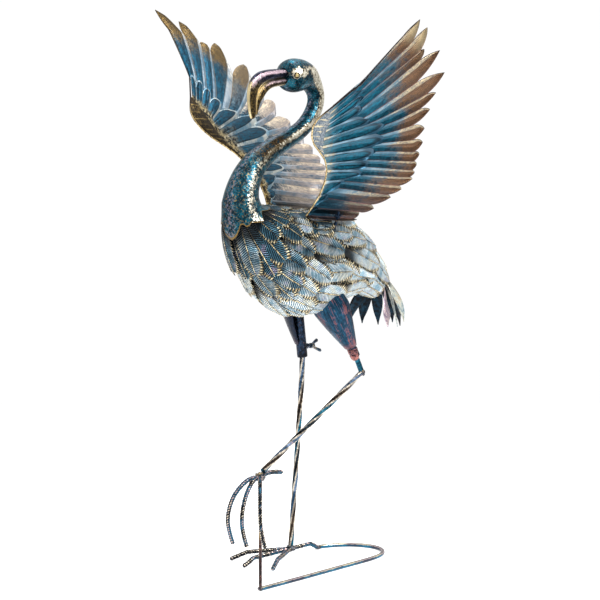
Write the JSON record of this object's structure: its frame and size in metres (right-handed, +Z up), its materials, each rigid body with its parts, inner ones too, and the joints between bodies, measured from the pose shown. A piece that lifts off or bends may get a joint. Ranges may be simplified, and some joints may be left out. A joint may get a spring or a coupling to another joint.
{
  "type": "metal flamingo garden figure",
  "caption": "Sheet-steel flamingo garden figure on one leg, wings raised, coat of overlapping feather plates, held up by a rod base on the ground.",
  "frame": {"origin": "on the ground, under the middle of the figure's bounding box", "axes": "+Z up; the bird faces -Y; +X is towards the bird's left side"},
  "size_m": [0.606, 0.5408, 0.9949],
  "materials": {
    "teal_steel": "hammered teal with rubbed gold highlights",
    "bronzed_steel": "rubbed gold and pink over dark",
    "feather_steel": "teal with pale gold edges and barbs",
    "dark_steel": "dark blue with copper streaks",
    "rod_steel": "teal and dark brown with pale gold ridges"
  },
  "bodies": {
    "root": {"base_post": "rod_steel", "base_runner": "rod_steel", "bill_lower": "bronzed_steel", "bill_upper": "bronzed_steel", "body_shell": "teal_steel", "clamp_nut": "dark_steel", "clamp_screw": "dark_steel", "eye_left": "bronzed_steel", "eye_right": "bronzed_steel", "feather_row_1": "feather_steel", "feather_row_2": "feather_steel", "feather_row_3": "feather_steel", "feather_row_4": "feather_steel", "feather_row_5": "feather_steel", "feather_row_6": "feather_steel", "feather_row_7": "feather_steel", "feather_row_8": "feather_steel", "neck_and_head": "teal_steel", "raised_leg_shin": "rod_steel", "raised_leg_upper": "rod_steel", "raised_toe_left": "rod_steel", "raised_toe_middle": "rod_steel", "raised_toe_right": "rod_steel", "socket_left": "dark_steel", "socket_right": "dark_steel", "standing_leg": "rod_steel", "standing_toe_left": "rod_steel", "standing_toe_middle": "rod_steel", "standing_toe_right": "rod_steel", "tail_feather_1": "dark_steel", "tail_feather_2": "dark_steel", "tail_feather_3": "dark_steel", "tail_feather_4": "dark_steel", "tail_feather_5": "dark_steel", "tail_feather_6": "dark_steel", "tail_feather_7": "dark_steel", "tail_feather_8": "dark_steel", "thigh_left": "dark_steel", "thigh_right": "dark_steel", "wing_left": "teal_steel", "wing_nut_left": "dark_steel", "wing_nut_right": "dark_steel", "wing_right": "teal_steel", "wing_stud_left": "dark_steel", "wing_stud_right": "dark_steel"}
  },
  "joints": []
}
